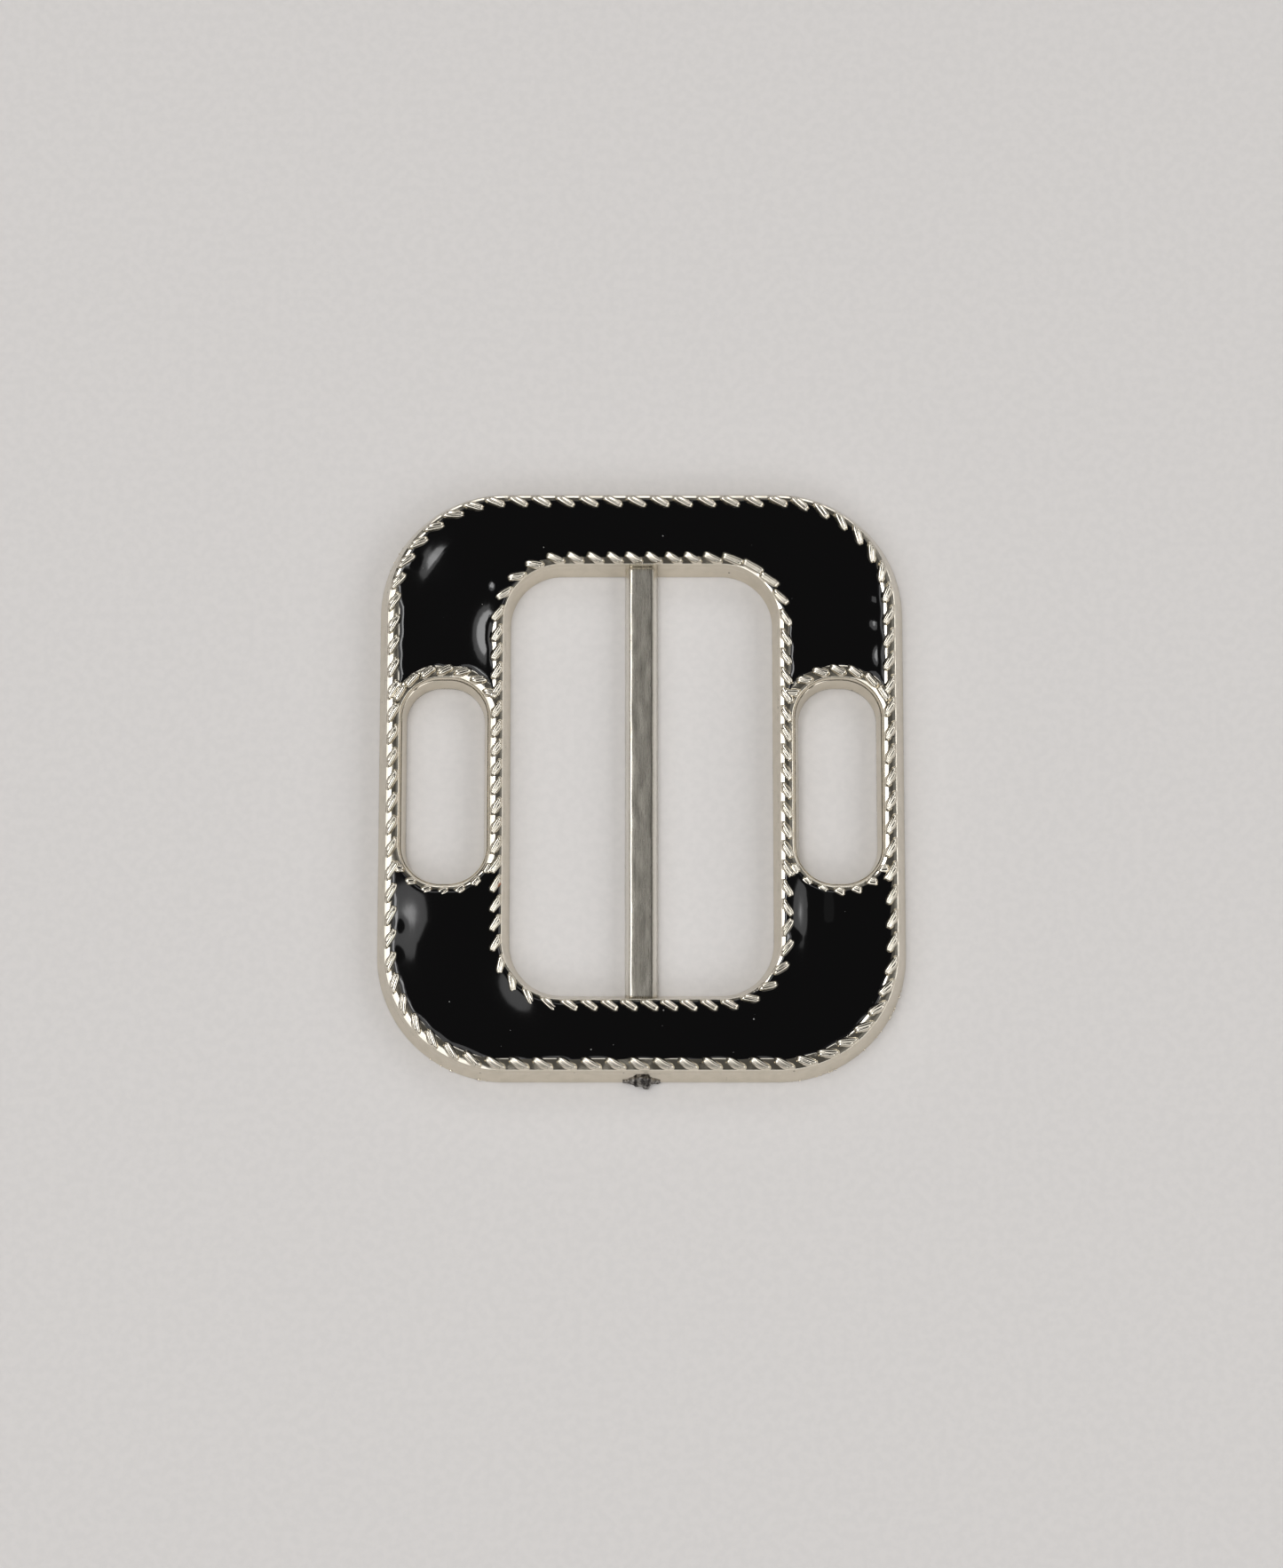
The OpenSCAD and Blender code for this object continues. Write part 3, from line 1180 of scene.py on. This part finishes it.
@dataclass
class EnamelPanel:
    """One poured enamel panel.

    Attributes:
        name: The piece's name.
        node: The solid that it stands for.
        upper: Whether it is the panel above the slots.
        swells: Places where it stands higher.
    """

    name: str
    node: str
    upper: bool
    swells: tuple[Swell, ...] = ()

    def build(self, land: Land) -> bpy.types.Object:
        """Builds the panel as a closed solid whose rim lies inside the land."""
        tuck = 0.05
        sign = 1 if self.upper else -1
        rings = []
        insets = [tuck + 0.07 * i for i in range(17)] + [1.35, 1.5, 1.7, 1.95, 2.3, 2.7, 3.2]
        for outline, away in [(land.outer, 1)] + [(hole, -1) for hole in land.openings]:
            counts = outline.counts(0.3, 34)
            for inset in insets:
                ring = outline.grown(-away * inset).loop(counts)
                nearest = land.inset(ring[:, 0], ring[:, 1])
                rings.append(ring[nearest > inset - 0.02])
        places = np.vstack(rings)
        _, first = np.unique(np.round(places / 0.06), axis=0, return_index=True)
        places = places[np.sort(first)]
        start = 8.0
        places = places[sign * places[:, 1] > start]
        mesh = MeshBuilder()
        shore = Shoreline()
        mesh.sheet(
            places,
            [],
            lambda x, y: (land.inset(x, y) > tuck) & (sign * y > start),
            shore.surface(land, self.swells),
        )
        piece = mesh.build(self.name)
        self.close(piece, land)
        return piece

    def close(self, piece: bpy.types.Object, land: Land) -> None:
        """Gives the sheet its sides and a flat underside.

        Args:
            piece: The sheet.
            land: The land around it.
        """
        form = bmesh.new()
        form.from_mesh(piece.data)
        if sum(face.normal.z for face in form.faces) < 0:
            bmesh.ops.reverse_faces(form, faces=form.faces)
        low = (land.height - land.tray_depth) * MM
        made = bmesh.ops.extrude_face_region(form, geom=list(form.faces))["geom"]
        for vert in (g for g in made if isinstance(g, bmesh.types.BMVert)):
            vert.co.z = low
        bmesh.ops.recalc_face_normals(form, faces=form.faces)
        form.to_mesh(piece.data)
        form.free()
        piece.data.polygons.foreach_set("use_smooth", [True] * len(piece.data.polygons))


UPPER_SWELLS = (
    Swell(-12.6, 13.4, (1.9, 3.2), 0.27),
    Swell(-16.6, 20.4, (3.2, 2.2), 0.24, 38.0),
    Swell(-13.2, 18.0, (0.5, 0.5), 0.08),
    Swell(-20.9, 20.2, (0.45, 0.4), 0.07),
    Swell(21.9, 16.7, (1.0, 0.75), 0.2),
    Swell(21.9, 14.4, (1.1, 0.9), 0.22),
    Swell(22.0, 11.4, (0.9, 1.6), 0.2),
)
LOWER_SWELLS = (
    Swell(-18.2, -12.6, (3.6, 4.5), 0.28),
    Swell(-22.0, -13.4, (0.5, 0.6), 0.05),
    Swell(-22.1, -16.0, (0.4, 0.5), 0.05),
    Swell(15.55, -12.2, (1.7, 6.0), 0.285),
    Swell(13.5, -14.4, (0.5, 0.5), 0.05),
    Swell(22.4, -18.3, (0.6, 0.6), 0.12),
    Swell(21.2, -20.4, (0.6, 0.6), 0.12),
    Swell(19.8, -22.0, (0.6, 0.6), 0.12),
    Swell(-9.0, -19.1, (4.2, 2.7), 0.28, -45.0),
)


@dataclass
class GateStub:
    """The torn stub where the casting was broken off its runner.

    Attributes:
        seed: Seed of its fracture.
        reach: How far the stub stands out past the back face's edge.
        root: Least height of the part that is buried in the casting.
    """

    seed: int = 5
    reach: float = 0.6
    root: float = 0.08

    def build(self) -> bpy.types.Object:
        """Builds the stub as a torn, faceted lump that tapers to a tip."""
        low, high = ([c / MM for c in corner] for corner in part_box("gate_stub"))
        form = bmesh.new()
        bmesh.ops.create_icosphere(form, subdivisions=4, radius=1.0)
        shift = Vector((self.seed, 0, self.seed))
        for vert in form.verts:
            p = vert.co.copy()
            chips = 0.09 * noise.cell(p * 3.6 + shift) + 0.16 * noise.fractal(p * 2.4 + shift, 0.7, 2.1, 4)
            x = 1.75 * p.x * (1 + chips)
            tooth = 0.55 * math.exp(-(((x - 0.45) / 0.3) ** 2))
            tooth += 0.25 * math.exp(-(((x + 0.35) / 0.45) ** 2))
            reach = 0.16 + tooth + 0.1 * noise.noise(Vector((x * 3.1, self.seed, 0)))
            ragged = 0.16 * noise.noise(Vector((x * 2.7, 0, self.seed)))
            rise = 0.22 + 0.6 * math.exp(-((x / 0.95) ** 2)) + ragged
            depth = reach if p.y < 0 else 0.7
            dip = max(p.z, 0) * max(0.0, 1 - abs(p.y + 0.2) * 1.6)
            hollow = 0.3 * math.exp(-(((x + 0.1) / 0.6) ** 2)) * dip
            y = low[1] + self.reach + depth * p.y * (1 + 1.4 * chips)
            place = Vector((x, y, 0.3 + rise * p.z * (1 + 1.2 * chips) - hollow))
            if place.y > low[1] + self.reach - 0.02:
                place.z = max(place.z, self.root)
            for i in range(3):
                place[i] = min(max(place[i], low[i]), high[i])
            vert.co = place * MM
        return piece_from(form, "gate_stub_torn", smooth=False)


@dataclass
class PlatingNodules:
    """Beads of plating and flash along the foot of the outer wall.

    Attributes:
        stretches: Start, end and number of beads of each stretch, along the land's outer edge.
    """

    stretches: tuple[tuple[float, float, int], ...] = (
        (123.0, 137.0, 26), (161.5, 169.0, 9), (98.0, 112.0, 8), (15.5, 19.5, 6), (34.5, 38.0, 4)
    )

    def build(self, casting: Casting) -> bpy.types.Object:
        """Builds the beads, each a small uneven lump on the wall's foot."""
        shake = random.Random(21)
        foot = casting.land.outer.grown(casting.outer_draft)
        scale = foot.perimeter / casting.land.outer.perimeter
        form = bmesh.new()
        for start, end, count in self.stretches:
            for _ in range(count):
                x, y, heading = foot.walk(scale * shake.uniform(start, end))
                size = shake.choice((0.03, 0.04, 0.05, 0.07, 0.1))
                inward = heading - math.pi / 2
                x, y = x + 0.3 * size * math.cos(inward), y + 0.3 * size * math.sin(inward)
                reach_x, reach_y = foot.width / 2 - 1.8 * size, foot.length / 2 - 1.8 * size
                x, y = min(max(x, -reach_x), reach_x), min(max(y, -reach_y), reach_y)
                bead = Matrix.Translation(Vector((x, y, size + 0.005)) * MM)
                bead = bead @ Matrix.Rotation(heading, 4, "Z")
                bead = bead @ Matrix.Diagonal((size * shake.uniform(1, 1.8) * MM, size * MM, size * MM, 1))
                bmesh.ops.create_icosphere(form, subdivisions=2, radius=1.0, matrix=bead)
        return piece_from(form, "plating_nodules")


# ---------------------------------------------------------------------------------------------
# Studio
# ---------------------------------------------------------------------------------------------


@dataclass(frozen=True)
class Softbox:
    """A rectangular studio light.

    Attributes:
        name: Its name.
        place: Where it hangs, in metres.
        size: Its width and height, in metres.
        power: Its power, in watts.
        colour: Its colour.
    """

    name: str
    place: tuple[float, float, float]
    size: tuple[float, float]
    power: float
    colour: Colour = (1.0, 1.0, 1.0)

    def hang(self, target: Vector) -> None:
        """Hangs the light so that it faces a target."""
        lamp = bpy.data.lights.new(self.name, "AREA")
        lamp.shape = "RECTANGLE"
        lamp.size, lamp.size_y = self.size
        lamp.energy, lamp.color = self.power, self.colour
        holder = bpy.data.objects.new(self.name, lamp)
        holder.location = self.place
        holder.rotation_mode = "QUATERNION"
        back = (Vector(self.place) - target).normalized()
        side = Vector((0, 1, 0)).cross(back).normalized()
        up = back.cross(side)
        holder.rotation_quaternion = Matrix((side, up, back)).transposed().to_quaternion()
        bpy.context.scene.collection.objects.link(holder)


@dataclass
class Studio:
    """Floor, lights and camera.

    Attributes:
        tilt: Angle between the camera's axis and straight down, in degrees.
        distance: Camera's distance from the slider, in metres.
        lens: Focal length on a 36 mm sensor.
        aim: Where the camera looks, in metres.
        ambient: Brightness of the room at the horizon and overhead.
    """

    tilt: float = 11.06
    distance: float = 0.4042
    lens: float = 102.2
    aim: tuple[float, float, float] = (0.0, 0.00008, 0.0)
    ambient: tuple[float, float] = (0.12, 0.07)
    lights: tuple[Softbox, ...] = (
        Softbox("left_softbox", (-0.3, -0.1, 0.5), (0.5, 0.7), 1.35),
        Softbox("left_window", (-0.16, 0.1, 0.5), (0.1, 0.28), 0.44),
        Softbox("right_softbox", (0.5, -0.04, 0.38), (0.38, 0.85), 1.5),
        Softbox("rear_softbox", (0.05, 0.52, 0.42), (0.7, 0.24), 0.75),
        Softbox("front_softbox", (0.15, -0.52, 0.42), (0.7, 0.3), 0.85),
        Softbox("ceiling_wash", (0.34, 0.02, 0.53), (0.34, 0.8), 0.09),
    )

    def lay_floor(self) -> None:
        """Lays a wide, gently uneven paper floor under the slider."""
        form = bmesh.new()
        bmesh.ops.create_grid(form, x_segments=60, y_segments=60, size=0.6)
        for vert in form.verts:
            vert.co.z = -0.00002 - 0.0004 * max(0.0, vert.co.xy.length - 0.1)
        floor = piece_from(form, "paper_floor", smooth=False)
        floor.data.materials.append(PaperFinish("pale_paper").material())

    def light(self) -> None:
        """Hangs the softboxes and sets the room's brightness, which fades overhead."""
        for box in self.lights:
            box.hang(Vector((0, 0, 0)))
        world = bpy.data.worlds.new("room")
        world.use_nodes = True
        graph = Graph(world.node_tree)
        place = graph.add("ShaderNodeTexCoord").outputs["Generated"]
        height = graph.add("ShaderNodeSeparateXYZ", {"Vector": place}).outputs["Z"]
        glow = graph.span(height, -0.1, 1.0, *self.ambient)
        graph.tree.links.new(glow, world.node_tree.nodes["Background"].inputs["Strength"])
        world.node_tree.nodes["Background"].inputs["Color"].default_value = (1.0, 0.96, 0.88, 1.0)
        scene = bpy.context.scene
        scene.world = world
        scene.view_settings.view_transform = "Standard"

    def place_camera(self) -> None:
        """Places the camera above the slider, tilted towards its lower edge."""
        camera = bpy.data.cameras.new("camera")
        camera.lens = self.lens
        camera.sensor_width = 36.0
        camera.clip_start, camera.clip_end = 0.01, 10.0
        holder = bpy.data.objects.new("camera", camera)
        tilt = math.radians(self.tilt)
        back = Vector((0, -math.sin(tilt), math.cos(tilt)))
        holder.location = Vector(self.aim) + self.distance * back
        holder.rotation_mode = "QUATERNION"
        holder.rotation_quaternion = (-back).to_track_quat("-Z", "Y")
        bpy.context.scene.collection.objects.link(holder)
        bpy.context.scene.camera = holder


# ---------------------------------------------------------------------------------------------
# Assembly
# ---------------------------------------------------------------------------------------------


def main() -> None:
    """Builds the slider's pieces in order, then the studio around them."""
    logging.basicConfig(level=logging.INFO, format="%(name)s: %(message)s")
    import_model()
    studio = Studio()
    studio.place_camera()

    casting = Casting()
    land = casting.land
    plating = PlatedFinish("bright_plating").material()
    rib_plating = PlatedFinish("rib_plating", wave=0.004, pits=0.0, wear=(-12.7, -9.8, 2.7, 0.3)).material()
    dress(casting.build(), plating, "plated_frame", "frame")
    dress(CentreBar().build(), RubbedBarFinish("rubbed_plating").material(), "brushed_bar", "centre_bar")
    borders = (
        RopeBorder("outer_rope_ribs", "outer_rope_border", OuterRope()),
        RopeBorder("window_rope_ribs", "window_rope_border", WindowRope()),
        RopeBorder("left_slot_rope_ribs", "left_slot_rope_border", SlotRope(Opening.LEFT_SLOT)),
        RopeBorder("right_slot_rope_ribs", "right_slot_rope_border", SlotRope(Opening.RIGHT_SLOT)),
    )
    for border in borders:
        dress(border.build(land), rib_plating, "plated_ribs", border.node)
    enamel = EnamelFinish("black_enamel").material()
    panels = (
        EnamelPanel("upper_enamel_pour", "upper_enamel", True, UPPER_SWELLS),
        EnamelPanel("lower_enamel_pour", "lower_enamel", False, LOWER_SWELLS),
    )
    for panel in panels:
        dress(panel.build(land), enamel, "black_enamel", panel.node)
    dress(GateStub().build(), FractureFinish("torn_metal").material(), "broken_gate", "gate_stub")
    dress(PlatingNodules().build(casting), plating, "plated_frame")

    studio.lay_floor()
    studio.light()


if __name__ == "__main__":
    main()
